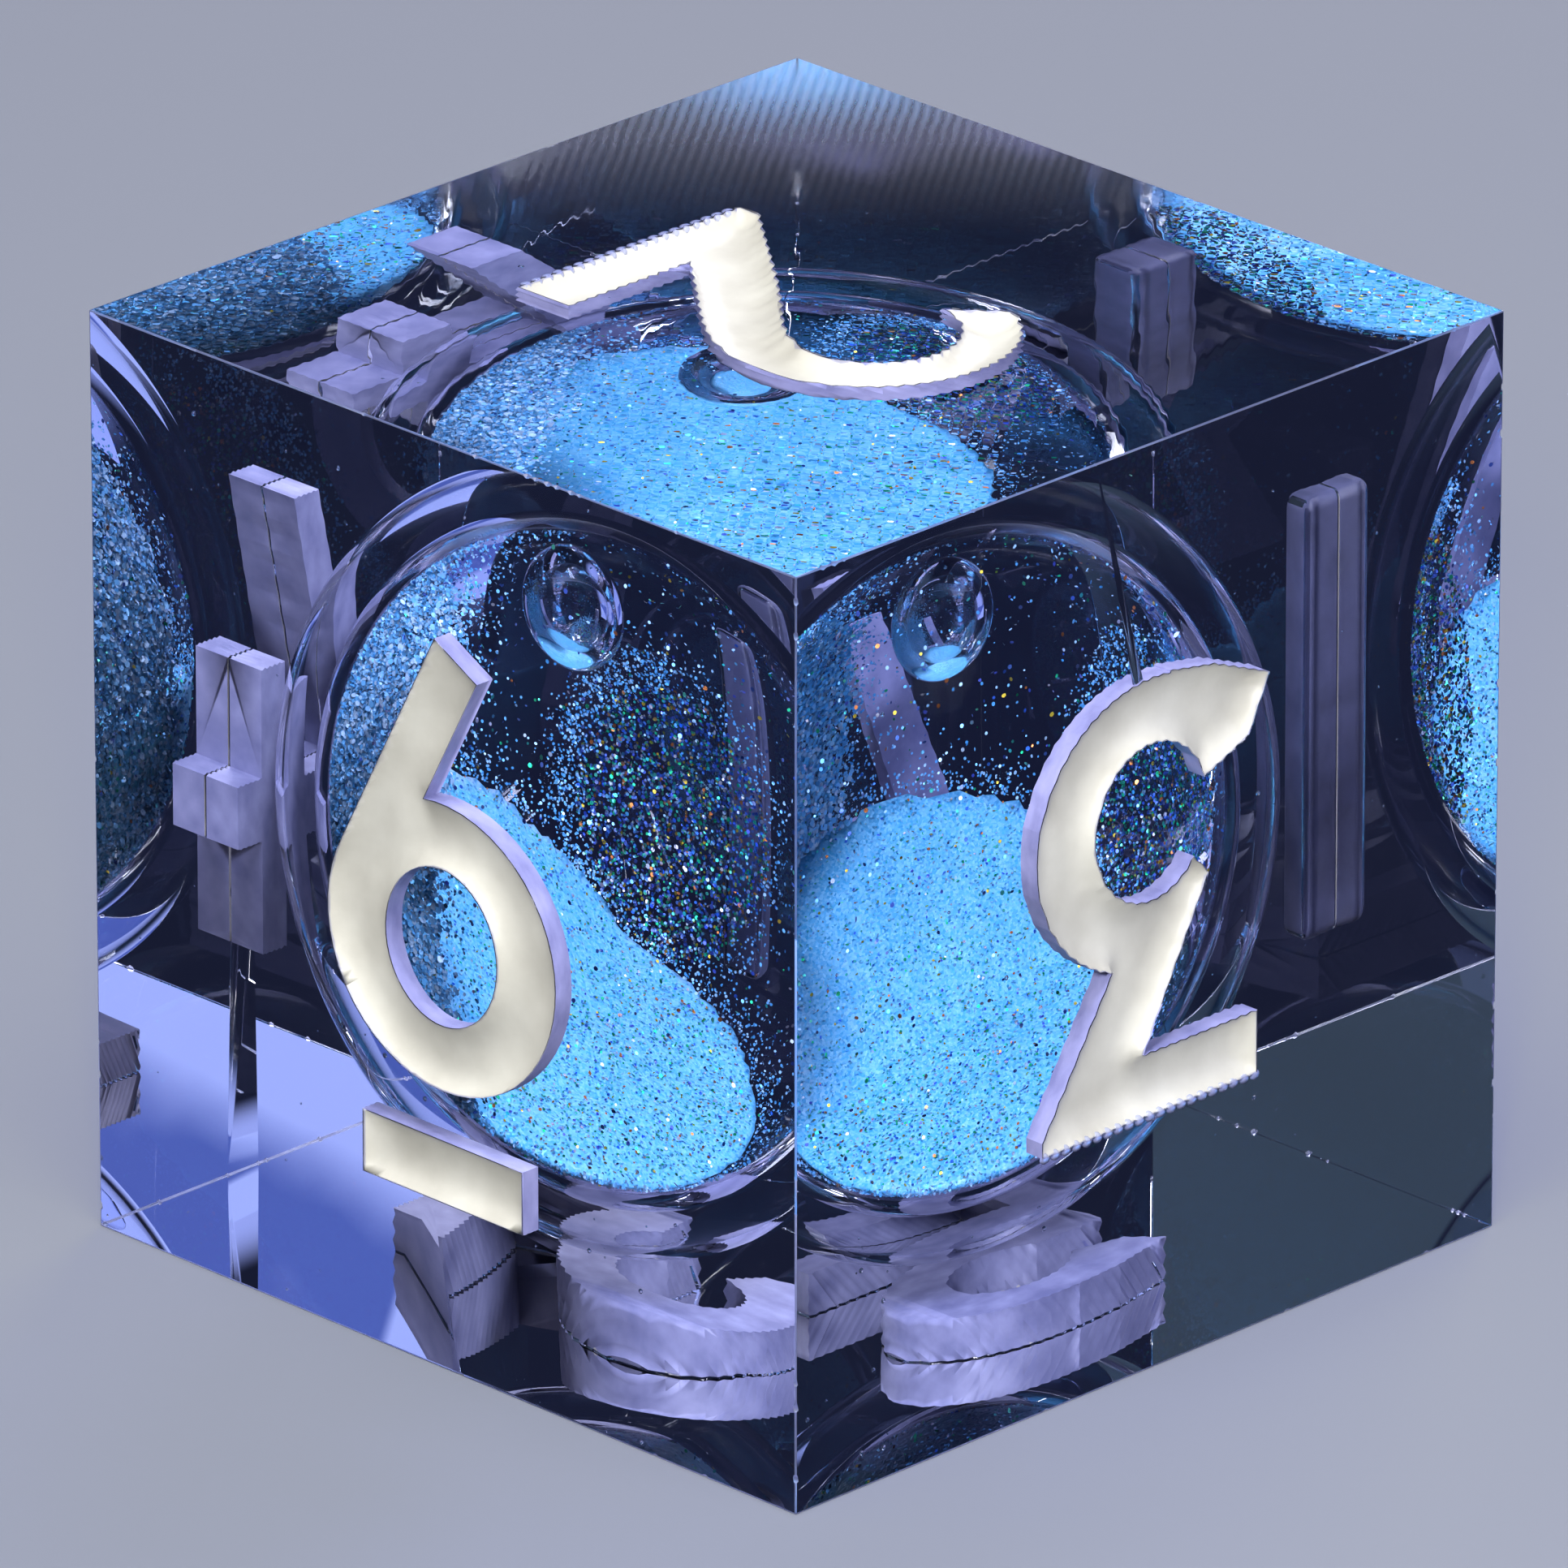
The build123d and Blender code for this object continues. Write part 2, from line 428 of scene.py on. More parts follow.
paint = add_node(
    tree, "ShaderNodeBsdfPrincipled", in_Base_Color=ivory.outputs["Color"],
    in_Roughness=0.42, in_Normal=relief.outputs["Normal"],
)
add_node(tree, "ShaderNodeOutputMaterial", in_Surface=paint.outputs[0])
paint_material = material


def shaded_paint_back(name, dark, light):
    """A duller, darker violet-grey copy of the paint for its faces against the resin: painted shade and
    tint for the dim light that reaches them through the block.
    """
    material, tree = new_material(name)
    place = add_node(tree, "ShaderNodeTexCoord")
    blotches = add_node(
        tree, "ShaderNodeTexNoise", in_Vector=place.outputs["Object"],
        in_Scale=1 / (0.7 * MM), in_Detail=5.0,
    )
    violet = add_node(tree, "ShaderNodeValToRGB", in_Fac=blotches.outputs["Fac"])
    violet.color_ramp.elements[0].position = 0.3
    violet.color_ramp.elements[0].color = linear(dark)
    violet.color_ramp.elements[1].position = 0.7
    violet.color_ramp.elements[1].color = linear(light)
    back = add_node(
        tree, "ShaderNodeBsdfPrincipled", in_Base_Color=violet.outputs["Color"], in_Roughness=0.5
    )
    add_node(tree, "ShaderNodeOutputMaterial", in_Surface=back.outputs[0])
    return material


# The faces of the paint against the resin carry painted shade: lighter behind most numerals, darker grey
# behind the 4 and the 5, and darkest behind the 1.
paint_back_light_shade = shaded_paint_back("paint from behind, light painted shade", "#9090ae", "#bebcd4")
paint_back_mid_shade = shaded_paint_back("paint from behind, mid painted shade", "#747798", "#a0a2c0")
paint_back_shades = {
    "numeral_1": shaded_paint_back("paint from behind, deep painted shade", "#2e3146", "#464962"),
    "numeral_4": paint_back_mid_shade,
    "numeral_5": paint_back_mid_shade,
}

numeral_nodes = [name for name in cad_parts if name.startswith("numeral")]
for node in sorted(numeral_nodes):
    piece, outward, depth_axis = numeral_prism(node, node.replace("numeral", "paint"), rim_depth)
    for vertex in piece.data.vertices:
        if depth_of(vertex, outward) > numeral_depth - merge_gap:
            vertex.co -= outward * bond
    for index, normal in wall_normals(piece, outward).items():
        piece.data.vertices[index].co += normal * bond
    # Faces that touch the resin take the shaded copy of the paint, a painted shade.
    behind = [face.normal.dot(outward) < 0.5 for face in piece.data.polygons]
    piece.data.materials.append(paint_material)
    piece.data.materials.append(paint_back_shades.get(node, paint_back_light_shade))
    for face, hidden in zip(piece.data.polygons, behind):
        face.material_index = 1 if hidden else 0
    hollow_channel(piece, outward, depth_axis)
    smooth_shade(piece)
    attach(piece, "casing")
    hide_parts(node)


# ---------------------------------------------------------------------------
# Clear block: epoxy resin cast in a silicone mould, sanded and polished to
# sharp edges, with the sunken numerals and small nicks along the edges.
# ---------------------------------------------------------------------------
edge_break = 0.026 * MM
resin_ior = 1.53
cutter_rise = 0.2 * MM
nick_count = 110
nick_sizes = (0.03 * MM, 0.13 * MM)
nick_setback = 0.45
flat = 0.999
at_edge = 0.99 * half_edge

bpy.ops.object.select_all(action="DESELECT")
bpy.ops.mesh.primitive_cube_add(size=2 * half_edge, location=block_centre)
block = bpy.context.object
block.name = "clear_block"
bpy.ops.object.transform_apply(location=True, rotation=False, scale=False)
bpy.ops.object.mode_set(mode="EDIT")
bpy.ops.mesh.select_all(action="SELECT")
bpy.ops.mesh.bevel(offset=edge_break, segments=2, profile=0.6)
bpy.ops.object.mode_set(mode="OBJECT")
for name in ("cast epoxy resin", "sanded epoxy edge", "polished epoxy top"):
    block.data.materials.append(bpy.data.materials.new(name))
for face in block.data.polygons:
    spot = face.center - block_centre
    polished_edge = spot.y > at_edge and min(spot.x, spot.z) < -at_edge
    if face.normal.z > flat:
        face.material_index = 2
    elif max(abs(part) for part in face.normal) < flat and not polished_edge:
        face.material_index = 1

cutters = []
for node in sorted(numeral_nodes):
    cutters.append(numeral_prism(node, "cut", -cutter_rise)[0])
    cutters[-1].data.materials.append(block.data.materials[0])
dice = random.Random(16)
for _ in range(nick_count):
    axis = dice.randrange(3)
    spot = Vector([dice.choice((-1, 1)) * half_edge for _ in range(3)])
    spot[axis] = dice.uniform(-1, 1) * half_edge
    radius = dice.uniform(*nick_sizes)
    away = Vector([0 if i == axis else math.copysign(1, spot[i]) for i in range(3)]).normalized()
    bpy.ops.object.select_all(action="DESELECT")
    bpy.ops.mesh.primitive_ico_sphere_add(
        subdivisions=1, radius=radius, location=block_centre + spot + away * radius * nick_setback
    )
    cutters.append(bpy.context.object)
    cutters[-1].data.materials.clear()
    cutters[-1].data.materials.append(block.data.materials[1])
bpy.ops.object.select_all(action="DESELECT")
for cutter in cutters:
    cutter.select_set(True)
bpy.context.view_layer.objects.active = cutters[0]
bpy.ops.object.transform_apply(location=True, rotation=True, scale=True)
bpy.ops.object.join()
cutter = bpy.context.object
only(block)
carve = block.modifiers.new("numerals and nicks", "BOOLEAN")
carve.operation = "DIFFERENCE"
carve.solver = "EXACT"
carve.use_self = True
carve.material_mode = "TRANSFER"
carve.object = cutter
bpy.ops.object.modifier_apply(modifier=carve.name)
bpy.data.objects.remove(cutter)
smooth_shade(block, 20)


def clear_material(material, tint, ior, lamp_tint):
    """Clear material whose surface also lets lamps through."""
    material.use_nodes = True
    tree = material.node_tree
    tree.nodes.clear()
    glass = add_node(
        tree, "ShaderNodeBsdfPrincipled", in_Base_Color=linear(tint), in_Roughness=0.0,
        in_IOR=ior, in_Transmission_Weight=1.0,
    )
    clear = add_node(tree, "ShaderNodeBsdfTransparent", in_Color=linear(lamp_tint))
    path = add_node(tree, "ShaderNodeLightPath")
    both = add_node(
        tree, "ShaderNodeMixShader",
        in_0=path.outputs["Is Shadow Ray"], in_1=glass.outputs[0], in_2=clear.outputs[0],
    )
    add_node(tree, "ShaderNodeOutputMaterial", in_Surface=both.outputs[0])
    return tree, glass


# Cast epoxy, faintly violet. The top keeps the fine lines of its last polish, drawn coarser
# than real ones, and a haze that grows towards its back corner.
resin_tint = "#f1f3ff"
lamp_tint = "#d8dbfb"
haze_start, haze_end = 3.0, 10.0
clear_material(block.data.materials[0], resin_tint, resin_ior, lamp_tint)
tree, glass = clear_material(block.data.materials[2], resin_tint, resin_ior, lamp_tint)
place = add_node(tree, "ShaderNodeTexCoord")
turned = add_node(
    tree, "ShaderNodeMapping", in_Vector=place.outputs["Object"], in_Rotation=(0, 0, math.radians(-38))
)
lines = add_node(
    tree, "ShaderNodeTexWave", in_Vector=turned.outputs["Vector"], in_Scale=1 / (0.6 * MM),
    in_Distortion=1.2, in_Detail=2.0,
)
polish = add_node(
    tree, "ShaderNodeBump", in_Height=lines.outputs["Fac"], in_Strength=0.35, in_Distance=0.0006 * MM
)
tree.links.new(polish.outputs["Normal"], glass.inputs["Normal"])
backward = add_node(
    tree, "ShaderNodeVectorMath", operation="DOT_PRODUCT", in_0=place.outputs["Object"],
    in_1=(-0.707 / MM, 0.707 / MM, 0),
)
smoky = add_node(
    tree, "ShaderNodeMapRange", interpolation_type="SMOOTHSTEP",
    in_Value=backward.outputs["Value"], in_From_Min=haze_start, in_From_Max=haze_end,
)
streaks = add_node(
    tree, "ShaderNodeMath", operation="MULTIPLY_ADD", in_0=lines.outputs["Fac"], in_1=0.3, in_2=0.7
)
haze = add_node(
    tree, "ShaderNodeMath", operation="MULTIPLY", in_0=smoky.outputs[0], in_1=streaks.outputs[0]
)
matt = add_node(tree, "ShaderNodeMath", operation="MULTIPLY", in_0=haze.outputs[0], in_1=0.4)
tree.links.new(matt.outputs[0], glass.inputs["Roughness"])
open_part = add_node(
    tree, "ShaderNodeMath", operation="MULTIPLY_ADD", in_0=haze.outputs[0], in_1=-0.06, in_2=1.0
)
tree.links.new(open_part.outputs[0], glass.inputs["Transmission Weight"])

# Sanded edge: the same resin left matt by the sanding paper, whitish in the light.
block.data.materials[1].use_nodes = True
tree = block.data.materials[1].node_tree
tree.nodes.clear()
frost = add_node(
    tree, "ShaderNodeBsdfPrincipled", in_Base_Color=linear("#9aa1c8"), in_Roughness=0.45,
    in_IOR=resin_ior, in_Transmission_Weight=0.85,
)
add_node(tree, "ShaderNodeOutputMaterial", in_Surface=frost.outputs[0])
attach(block, "casing")
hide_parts("resin_block")


# ---------------------------------------------------------------------------
# Beads: along two numerals the layer steps of the master left a row of clear
# resin beads on the rim of the recess.
# ---------------------------------------------------------------------------
bead_radius = 0.1 * MM
bead_shape = (0.9, 1.15, 0.9)
bead_scatter = 0.012 * MM
bead_overhang = 0.05 * MM


def bead_row(node, corner):
    """Small clear beads, one for each layer, along one straight edge of a numeral."""
    low, high = (Vector(corner_of_box) for corner_of_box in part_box(node))
    beads = []
    steps = int((high.y - low.y) / layer_step)
    for index in range(1, steps):
        place = corner(low, high)
        place.y = low.y + index * (high.y - low.y) / steps
        place += bead_scatter * Vector([noise.noise(Vector((index, axis, 5))) for axis in range(3)])
        bpy.ops.object.select_all(action="DESELECT")
        bpy.ops.mesh.primitive_ico_sphere_add(subdivisions=2, radius=bead_radius, location=place)
        beads.append(bpy.context.object)
        beads[-1].scale = bead_shape
    return beads


beads = bead_row(
    "numeral_2", lambda low, high: Vector((low.x - bead_overhang, 0, block_high.z - bead_radius))
)
beads += bead_row(
    "numeral_3", lambda low, high: Vector((block_high.x - bead_radius, 0, low.z - bead_overhang))
)
bpy.ops.object.select_all(action="DESELECT")
for bead in beads:
    bead.select_set(True)
bpy.context.view_layer.objects.active = beads[0]
bpy.ops.object.transform_apply(location=True, rotation=True, scale=True)
bpy.ops.object.join()
bead_strip = bpy.context.object
bead_strip.name = "rim_beads"
bpy.ops.object.shade_smooth()

# Clear resin with a whitish, partly matt surface: a painted highlight, so that the beads show bright where
# clear beads catch the light.
material, tree = new_material("resin bead with painted highlight")
whitened_bead = add_node(
    tree, "ShaderNodeBsdfPrincipled", in_Base_Color=linear("#e3e8ff"), in_Roughness=0.12,
    in_IOR=resin_ior, in_Transmission_Weight=0.6,
)
add_node(tree, "ShaderNodeOutputMaterial", in_Surface=whitened_bead.outputs[0])
bead_strip.data.materials.clear()
bead_strip.data.materials.append(material)
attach(bead_strip, "casing")
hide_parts("resin_block")


# ---------------------------------------------------------------------------
# Core ball: a hollow clear plastic ball, cast into the block.
# Its skin is nearly as dense as the resin, so only its outlines show.
# ---------------------------------------------------------------------------
shell_ior = 1.49
liquid_ior = 1.42
core_low, core_high = (Vector(corner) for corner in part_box("core_shell"))
core_centre = (core_low + core_high) / 2
core_radius = (core_high.x - core_low.x) / 2
shell_wall = 0.65 * MM


def smooth_ball(name, radius, detail, centre=core_centre, waviness=0.0, seed=0.0):
    """A ball that is very slightly out of round, as a moulded one is."""
    bpy.ops.object.select_all(action="DESELECT")
    bpy.ops.mesh.primitive_ico_sphere_add(subdivisions=detail, radius=radius)
    ball = bpy.context.object
    ball.name = name
    for vertex in ball.data.vertices:
        swell = 1 + waviness * noise.noise(vertex.co / (radius * 0.9) + Vector((seed, 0, 0)))
        vertex.co = centre + vertex.co * swell
    ball.data.materials.clear()
    only(ball)
    bpy.ops.object.shade_smooth()
    return ball


def relative_glass(name, tint, ior):
    """Glass for a surface between two clear materials."""
    material, tree = new_material(name)
    glass = add_node(tree, "ShaderNodeBsdfGlass", in_Color=linear(tint), in_Roughness=0.0, in_IOR=ior)
    clear = add_node(tree, "ShaderNodeBsdfTransparent")
    path = add_node(tree, "ShaderNodeLightPath")
    both = add_node(
        tree, "ShaderNodeMixShader",
        in_0=path.outputs["Is Shadow Ray"], in_1=glass.outputs[0], in_2=clear.outputs[0],
    )
    add_node(tree, "ShaderNodeOutputMaterial", in_Surface=both.outputs[0])
    return material


shell = smooth_ball("core_ball", core_radius, 6, waviness=0.004)
shell.data.materials.append(relative_glass("acrylic against resin", "#fbfcff", shell_ior / resin_ior))
inner = smooth_ball("inner", core_radius - shell_wall, 6, waviness=0.003, seed=7.0)
inner.data.materials.append(relative_glass("acrylic against liquid", "#fbfcff", shell_ior / liquid_ior))
bpy.ops.object.mode_set(mode="EDIT")
bpy.ops.mesh.select_all(action="SELECT")
bpy.ops.mesh.flip_normals()
bpy.ops.object.mode_set(mode="OBJECT")
only(shell)
inner.select_set(True)
bpy.ops.object.join()
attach(shell, "casing")
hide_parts("core_shell")


# ---------------------------------------------------------------------------
# Micro bubbles: pinhead bubbles of air caught in the resin, most of them on
# the skin of the core ball.
# ---------------------------------------------------------------------------
pinhead_count = 110
pinheads_on_ball = 60
pinhead_radii = (0.015, 0.02, 0.02, 0.03, 0.045)
clear_of_faces = 0.9 * MM
dice = random.Random(7)
bubbles = []
while len(bubbles) < pinhead_count:
    if len(bubbles) < pinheads_on_ball:
        way = Vector([dice.gauss(0, 1) for _ in range(3)]).normalized()
        spot = core_centre + way * (core_radius + dice.uniform(0.06, 0.25) * MM)
    else:
        spot = block_centre + Vector([dice.uniform(-0.93, 0.93) for _ in range(3)]) * half_edge
        if (spot - core_centre).length < core_radius + 0.1 * MM:
            continue
    if max(abs(part) for part in spot - block_centre) > half_edge - clear_of_faces:
        continue
    radius = dice.choice(pinhead_radii) * MM
    bpy.ops.object.select_all(action="DESELECT")
    bpy.ops.mesh.primitive_ico_sphere_add(subdivisions=2, radius=radius, location=spot)
    bubbles.append(bpy.context.object)
bpy.ops.object.select_all(action="DESELECT")
for bubble in bubbles:
    bubble.select_set(True)
bpy.context.view_layer.objects.active = bubbles[0]
bpy.ops.object.transform_apply(location=True, rotation=True, scale=True)
bpy.ops.object.join()
pinheads = bpy.context.object
pinheads.name = "micro_bubbles"
bpy.ops.object.shade_smooth()
pinheads.data.materials.clear()
pinheads.data.materials.append(relative_glass("air in resin", "#ffffff", 1 / resin_ior))
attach(pinheads, "casing")
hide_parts("resin_block")


# ---------------------------------------------------------------------------
# Seal: a dab of clear resin over the hole that the ball was filled through.
# ---------------------------------------------------------------------------
seal_radius = 0.62 * MM
seal_flatness = 0.42
seal_lumps = 0.05 * MM
seal_depth = 0.3 * MM
seal_low, seal_high = (Vector(corner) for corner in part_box("core_fill_plug"))
seal_way = ((seal_low + seal_high) / 2 - core_centre).normalized()
seal = smooth_ball("core_seal", seal_radius, 4, centre=Vector((0, 0, 0)))
for vertex in seal.data.vertices:
    vertex.co.z = seal_flatness * vertex.co.z + seal_lumps * noise.noise(vertex.co / (0.5 * MM))
    vertex.co = seal_way.to_track_quat("Z", "Y") @ vertex.co
    vertex.co += core_centre + seal_way * (core_radius - seal_depth)
seal.data.materials.append(relative_glass("clear sealing resin", "#f6f8ff", 1.03))
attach(seal, "casing")
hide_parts("core_fill_plug")


# ---------------------------------------------------------------------------
# Powder: fine sky-blue mica that has settled low in the ball as a sloping
# heap. It is packed by gravity alone, so its top is lumpy and its edge soft.
# ---------------------------------------------------------------------------
powder_gap = 0.07 * MM
powder_radius = core_radius - shell_wall - powder_gap
heap_root = Vector((-1.6, 1.2, -5.0))
halvings = 18


def heap_height(x, y):
    """The heap's top over the core's centre, all in millimetres."""
    slope = -3.2 - 0.27 * x + 0.18 * (y - 4.7) + 0.6 * max(0, -x - 1.6)
    lumps = 0.13 * noise.noise(Vector((x / 1.9, y / 1.9, 3.0)))
    fine = 0.07 * noise.noise(Vector((x / 0.45, y / 0.45, 9.0)))
    return slope + lumps + fine


powder = smooth_ball("mica_powder", powder_radius, 6)
for vertex in powder.data.vertices:
    spot = (vertex.co - core_centre) / MM
    if spot.z > heap_height(spot.x, spot.y):
        inside, outside = 0.0, 1.0
        for _ in range(halvings):
            middle = (inside + outside) / 2
            trial = heap_root.lerp(spot, middle)
            if trial.z > heap_height(trial.x, trial.y):
                outside = middle
            else:
                inside = middle
        spot = heap_root.lerp(spot, inside)
    grain = 0.03 * noise.noise(spot / 0.13)
    vertex.co = core_centre + spot * (1 - 0.005 + grain / 6) * MM


# Mica powder: tiny bright blue plates, each turned its own way, and a few of them mirrors.
material, tree = new_material("pearl mica powder")
place = add_node(tree, "ShaderNodeTexCoord")
plates = add_node(
    tree, "ShaderNodeTexVoronoi", in_Vector=place.outputs["Object"], in_Scale=1 / (0.055 * MM)
)
shade = add_node(tree, "ShaderNodeSeparateColor", in_0=plates.outputs["Color"])
blue = add_node(tree, "ShaderNodeValToRGB", in_Fac=shade.outputs[0])
blue.color_ramp.elements[0].position = 0.0
blue.color_ramp.elements[0].color = linear("#49bde9")
blue.color_ramp.elements[1].position = 1.0
blue.color_ramp.elements[1].color = linear("#8cdef8")
spread = add_node(
    tree, "ShaderNodeVectorMath", operation="SUBTRACT", in_0=plates.outputs["Color"], in_1=(0.5, 0.5, 0.5)
)
surface = add_node(tree, "ShaderNodeNewGeometry")
tilt = add_node(
    tree, "ShaderNodeVectorMath", operation="MULTIPLY_ADD",
    in_0=spread.outputs[0], in_1=(0.4, 0.4, 0.4), in_2=surface.outputs["Normal"],
)
facing = add_node(tree, "ShaderNodeVectorMath", operation="NORMALIZE", in_0=tilt.outputs[0])
glints = add_node(tree, "ShaderNodeMath", operation="GREATER_THAN", in_0=shade.outputs[1], in_1=0.93)
mica = add_node(
    tree,
    "ShaderNodeBsdfPrincipled",
    in_Base_Color=blue.outputs["Color"],
    in_Roughness=0.35,
    in_Metallic=glints.outputs[0],
    in_Normal=facing.outputs[0],
)
add_node(tree, "ShaderNodeOutputMaterial", in_Surface=mica.outputs[0])
powder.data.materials.append(material)
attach(powder, "core_contents")
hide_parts("powder_bed")


# ---------------------------------------------------------------------------
# Liquid and its bubble: clear liquid that fills the ball, with one bubble of
# air left under the top.
# ---------------------------------------------------------------------------
liquid_gap = 0.03 * MM
skin = smooth_ball("liquid", core_radius - shell_wall - liquid_gap, 6)
material, tree = new_material("clear liquid")
clear = add_node(tree, "ShaderNodeBsdfTransparent", in_Color=linear("#fbfcff"))
add_node(tree, "ShaderNodeOutputMaterial", in_Surface=clear.outputs[0])
skin.data.materials.append(material)
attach(skin, "core_contents")
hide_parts("carrier_liquid")

bubble_radius = 1.1 * MM
bubble_centre = core_centre + Vector((-0.45, -0.15, 4.55)) * MM
bubble = smooth_ball("air_bubble", bubble_radius, 5, centre=bubble_centre)
bubble.data.materials.append(relative_glass("air in liquid", "#ffffff", 1 / liquid_ior))
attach(bubble, "core_contents")
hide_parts("carrier_liquid")


# ---------------------------------------------------------------------------
# Glitter: holographic film cut into tiny hexagons. It lies on the powder,
# hangs along the ball's wall, and covers a patch of the back wall thickly.
# ---------------------------------------------------------------------------
flake_hues = (
    "#35f09a", "#2fd88a", "#63ffe0", "#4a8cff", "#e4f8ff",
    "#ffe14a", "#6f86ff", "#7dffc8", "#ffffff", "#ff9c50",
)
window_hues = ("#5a7ad8", "#6f9cf0", "#4f6ac0", "#86a8f0", "#5f8ae0", "#9fb8f4", "#7fd8ff", "#5a7ad8")


def scatter_flakes(name, spots, dice, colours, dimmest):
    """One mesh of small hexagons, each turned its own way and with its own hue, darkened at random as a
    painted glint so that only a few of them shine bright.
    """
    corners, faces, hues_and_painted_glints = [], [], []
    for spot, normal, width, lean in spots:
        tilt = Vector([dice.gauss(0, lean) for _ in range(3)])
        facing = (normal + tilt).normalized()
        turn = facing.to_track_quat("Z", "Y").to_matrix() @ Matrix.Rotation(dice.uniform(0, 1), 3, "Z")
        first = len(corners)
        for corner in range(6):
            angle = corner * math.pi / 3
            corners.append(spot + turn @ Vector((math.cos(angle), math.sin(angle), 0)) * width / 2)
        faces.append(tuple(range(first, first + 6)))
        # Painted glint: each flake's colour is darkened at random, so that only a few shine.
        painted_glint = dimmest + (1 - dimmest) * dice.random() ** 2
        hues_and_painted_glints.append([part * painted_glint for part in linear(dice.choice(colours))[:3]] + [1.0])
    mesh = bpy.data.meshes.new(name)
    mesh.from_pydata(corners, [], faces)
    attribute = mesh.color_attributes.new("hue_and_painted_glint", "FLOAT_COLOR", "CORNER")
    for face, hue_and_painted_glint in enumerate(hues_and_painted_glints):
        for corner in range(6):
            attribute.data[face * 6 + corner].color = hue_and_painted_glint
    piece = bpy.data.objects.new(name, mesh)
    bpy.context.collection.objects.link(piece)
    return piece


# Aluminised film: a mirror whose hue changes from flake to flake, and whose brightness is a painted glint,
# dim on most flakes and bright on a few.
material, tree = new_material("holographic film")
hue_and_painted_glint = add_node(tree, "ShaderNodeVertexColor", layer_name="hue_and_painted_glint")
film = add_node(
    tree, "ShaderNodeBsdfPrincipled", in_Base_Color=hue_and_painted_glint.outputs["Color"], in_Roughness=0.3, in_Metallic=0.95
)
add_node(tree, "ShaderNodeOutputMaterial", in_Surface=film.outputs[0])
film_material = material

dice = random.Random(2)
wall_reach = core_radius - shell_wall - 0.065 * MM


def wall_spot(turn, height, reach=wall_reach):
    """A point on the ball's wall, by its angle about the vertical and its height."""
    height = max(-0.99, min(0.99, height * MM / reach))
    across = math.sqrt(1 - height * height)
    way = Vector((across * math.cos(math.radians(turn)), across * math.sin(math.radians(turn)), height))
    return core_centre + way * reach, -way


# The patch of glitter on the back wall is an oval about this turn and height. Angles are in degrees
# about the vertical and heights in millimetres over the ball's centre.
patch_turn, patch_half_turn = 97, 24
patch_height, patch_half_height = -0.2, 2.7
patch_flakes, stray_flakes, cling_flakes = 4300, 1300, 900
flake_lean = 0.45
spots = []
for _ in range(patch_flakes):
    angle, out = dice.uniform(0, 2 * math.pi), math.sqrt(dice.random())
    turn = patch_turn + patch_half_turn * out * math.cos(angle)
    spot, facing = wall_spot(turn, patch_height + patch_half_height * out * math.sin(angle))
    spots.append((spot, facing, dice.uniform(0.05, 0.10) * MM, flake_lean))
for _ in range(stray_flakes):
    spot, facing = wall_spot(dice.uniform(0, 360), dice.uniform(-4.5, 5.7))
    spots.append((spot, facing, dice.uniform(0.045, 0.10) * MM, flake_lean))
for _ in range(cling_flakes):
    spot, facing = wall_spot(dice.uniform(180, 262), dice.uniform(-3, 5), powder_radius - 0.1 * MM)
    spots.append((spot, facing, dice.uniform(0.045, 0.09) * MM, flake_lean))
wall_glitter = scatter_flakes("wall_glitter", spots, dice, flake_hues + window_hues, 0.25)
wall_glitter.data.materials.append(film_material)
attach(wall_glitter, "drifting_glitter")
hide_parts("glitter_on_wall")

# The first of the heap's flakes lie on its top, and the rest against the wall round it.
top_flakes, heap_flakes = 3400, 4400
spots = []
while len(spots) < top_flakes:
    x, y = dice.uniform(-6, 6), dice.uniform(-6, 6)
    z = heap_height(x, y)
    if x * x + y * y + z * z > (powder_radius / MM - 0.15) ** 2:
        continue
    spot = core_centre + Vector((x, y, z + 0.04)) * MM
    spots.append((spot, Vector((0, 0, 1)), dice.uniform(0.045, 0.09) * MM, 0.5))
while len(spots) < heap_flakes:
    way = Vector([dice.gauss(0, 1) for _ in range(3)]).normalized()
    x, y, z = way * powder_radius / MM
    if z < heap_height(x, y):
        spots.append((core_centre + way * powder_radius, way, dice.uniform(0.045, 0.08) * MM, 0.3))
bed_glitter = scatter_flakes("bed_glitter", spots, dice, flake_hues, 0.8)
bed_glitter.data.materials.append(film_material)
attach(bed_glitter, "core_contents")
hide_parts("glitter_on_bed")


# ---------------------------------------------------------------------------
# Mica on the wall: grains of the blue powder that hang on the ball's wall.
# Loose ones thin out round the heap and round the glitter, and static holds a
# thick patch of them on one side. Heights and the wall's radius are in
# millimetres, as above.
# ---------------------------------------------------------------------------
mica_hues = ("#7cd0ff", "#b4e6ff", "#5ab8f0")
cling_hues = ("#97dcff", "#c9efff", "#72c8f5")
cling_turn, cling_half_turn = 222, 43
cling_height, cling_half_height = -0.3, 5.4
wall_radius = 5.95
loose_grains, clinging_grains = 17000, 27000
rim_place, rim_width = 1.08, 0.16


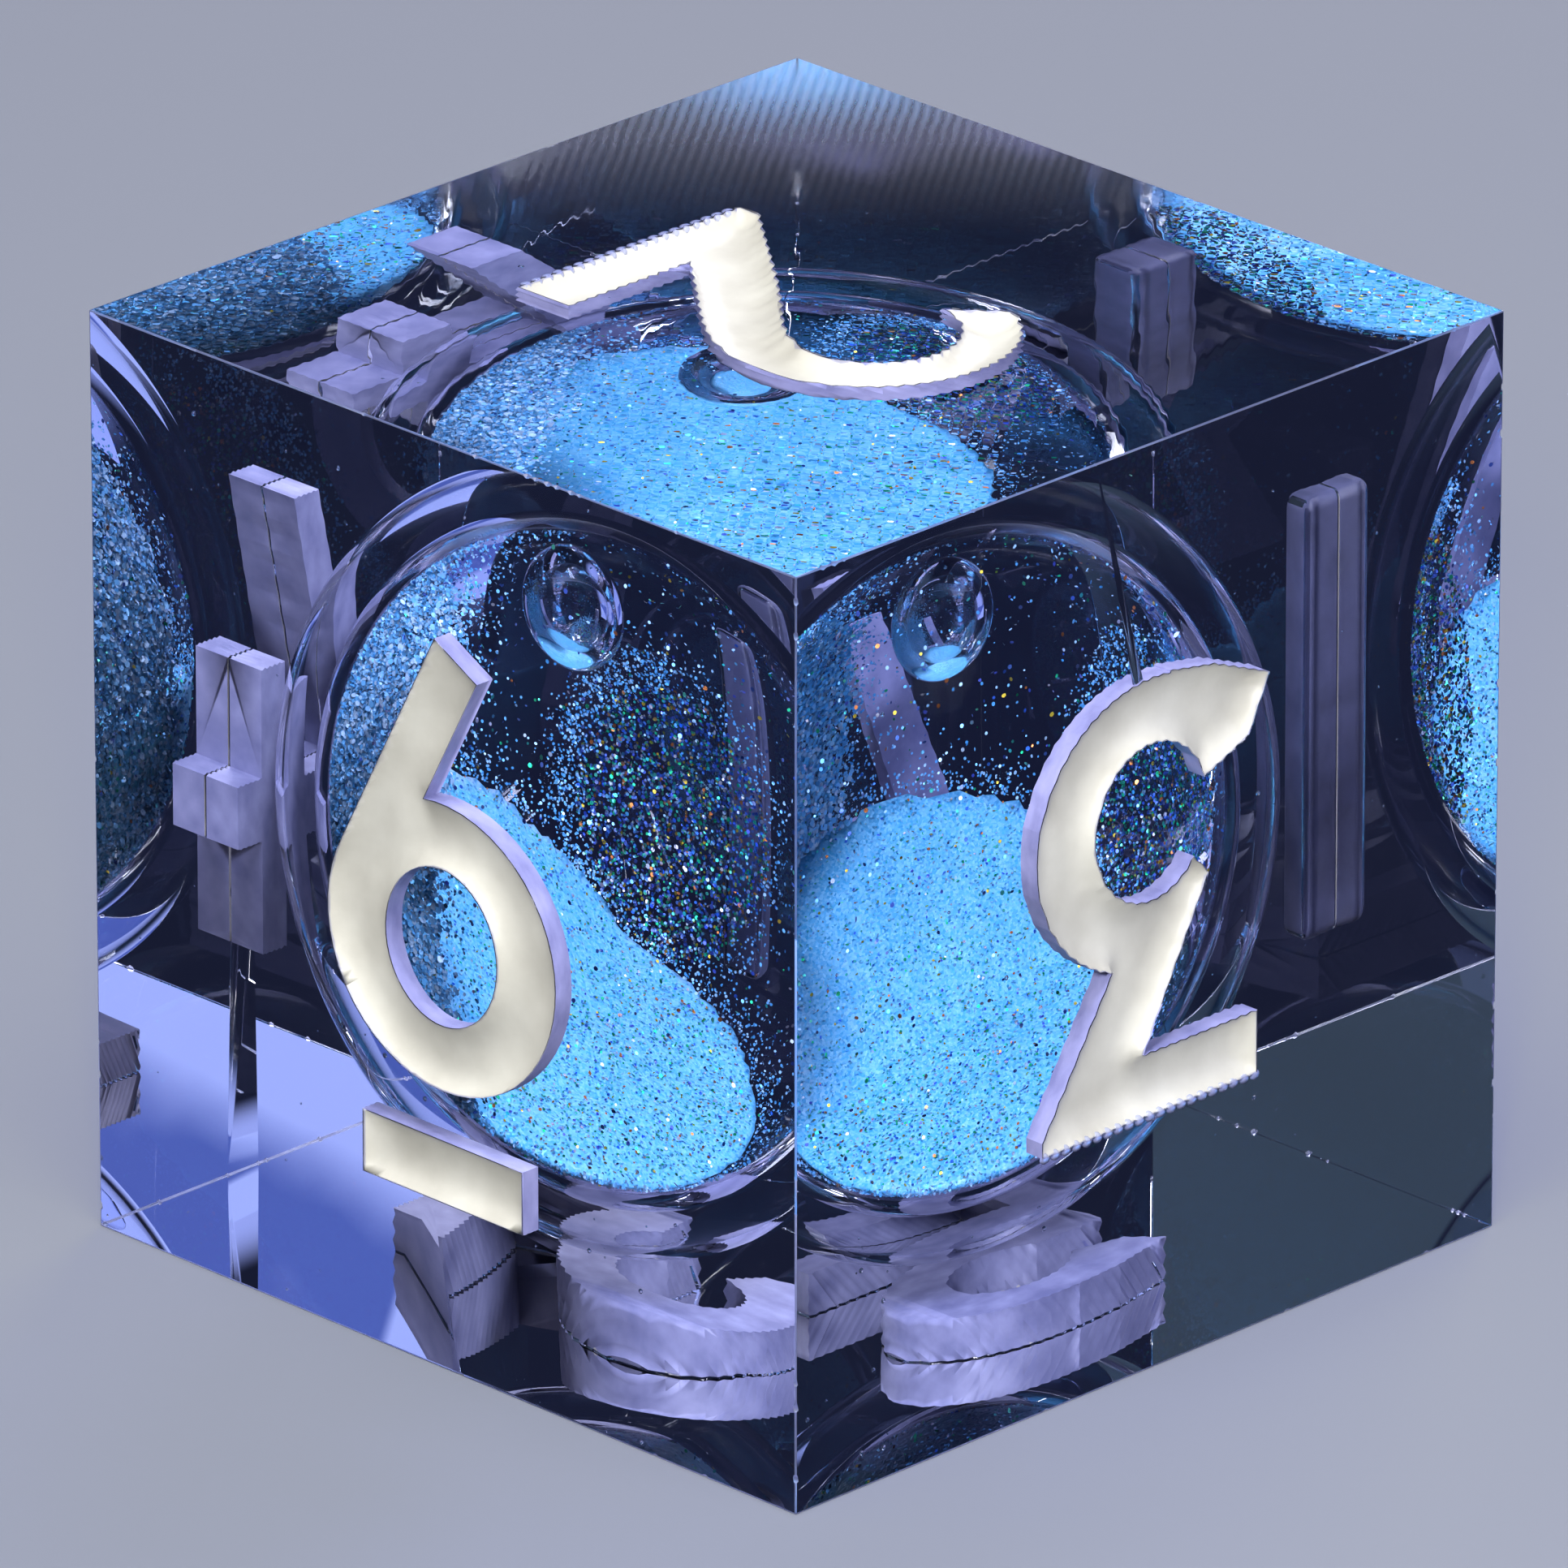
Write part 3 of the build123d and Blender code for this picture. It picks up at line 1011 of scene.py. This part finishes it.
def cling_cover(way):
    """Above 0 where powder clings to the wall in this direction from the centre."""
    turn = math.degrees(math.atan2(way.y, way.x)) % 360
    ragged = 0.05 * noise.noise(way * 6) + 0.05 * noise.noise(way * 25)
    height = way.z * wall_radius
    sideways = abs(turn - cling_turn) / cling_half_turn
    upwards = abs(height - cling_height) / cling_half_height
    return 1 - (sideways**4 + upwards**4) ** 0.25 + ragged


def rim_cover(turn, height):
    """Near 1 on the oval rim of the glitter patch, and fainter on its left side."""
    if abs(turn - patch_turn) >= 60:
        return 0
    ring = math.hypot((turn - patch_turn) / 25, (height - patch_height) / 2.8)
    return math.exp(-(((ring - rim_place) / rim_width) ** 2)) * (1 if turn > patch_turn else 0.35)


spots = []
while len(spots) < loose_grains:
    way = Vector([dice.gauss(0, 1) for _ in range(3)]).normalized()
    x, y, z = way * powder_radius / MM
    above = z - heap_height(x, y)
    near_heap = math.exp(-max(0, above) / 0.35) if above > 0 else 0
    near_cling = math.exp(min(0, cling_cover(way)) / 0.10)
    near_patch = rim_cover(math.degrees(math.atan2(way.y, way.x)) % 360, z)
    if dice.random() < max(0.8 * near_heap, 0.5 * near_cling, near_patch, 0.012):
        inward = powder_radius - dice.uniform(0, 0.02) * MM
        spots.append((core_centre + way * inward, -way, dice.uniform(0.04, 0.08) * MM, 0.5))
loose_mica = scatter_flakes("loose_mica", spots, dice, mica_hues, 0.8)
material, tree = new_material("loose mica grains")
# Each grain's colour is darkened a little at random: a painted glint.
hue_and_painted_glint = add_node(tree, "ShaderNodeVertexColor", layer_name="hue_and_painted_glint")
grains = add_node(
    tree, "ShaderNodeBsdfPrincipled", in_Base_Color=hue_and_painted_glint.outputs["Color"], in_Roughness=0.4, in_Metallic=0.2
)
add_node(tree, "ShaderNodeOutputMaterial", in_Surface=grains.outputs[0])
loose_mica.data.materials.append(material)
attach(loose_mica, "core_contents")
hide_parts("powder_bed")

spots = []
while len(spots) < clinging_grains:
    way = Vector([dice.gauss(0, 1) for _ in range(3)]).normalized()
    if dice.random() < min(1, cling_cover(way) / 0.12):
        inward = powder_radius - dice.uniform(0, 0.12) * MM
        spots.append((core_centre + way * inward, -way, dice.uniform(0.08, 0.14) * MM, 0.35))
clinging_mica = scatter_flakes("clinging_mica", spots, dice, cling_hues, 0.75)
clinging_mica.data.materials.append(material)
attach(clinging_mica, "core_contents")
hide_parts("powder_bed")
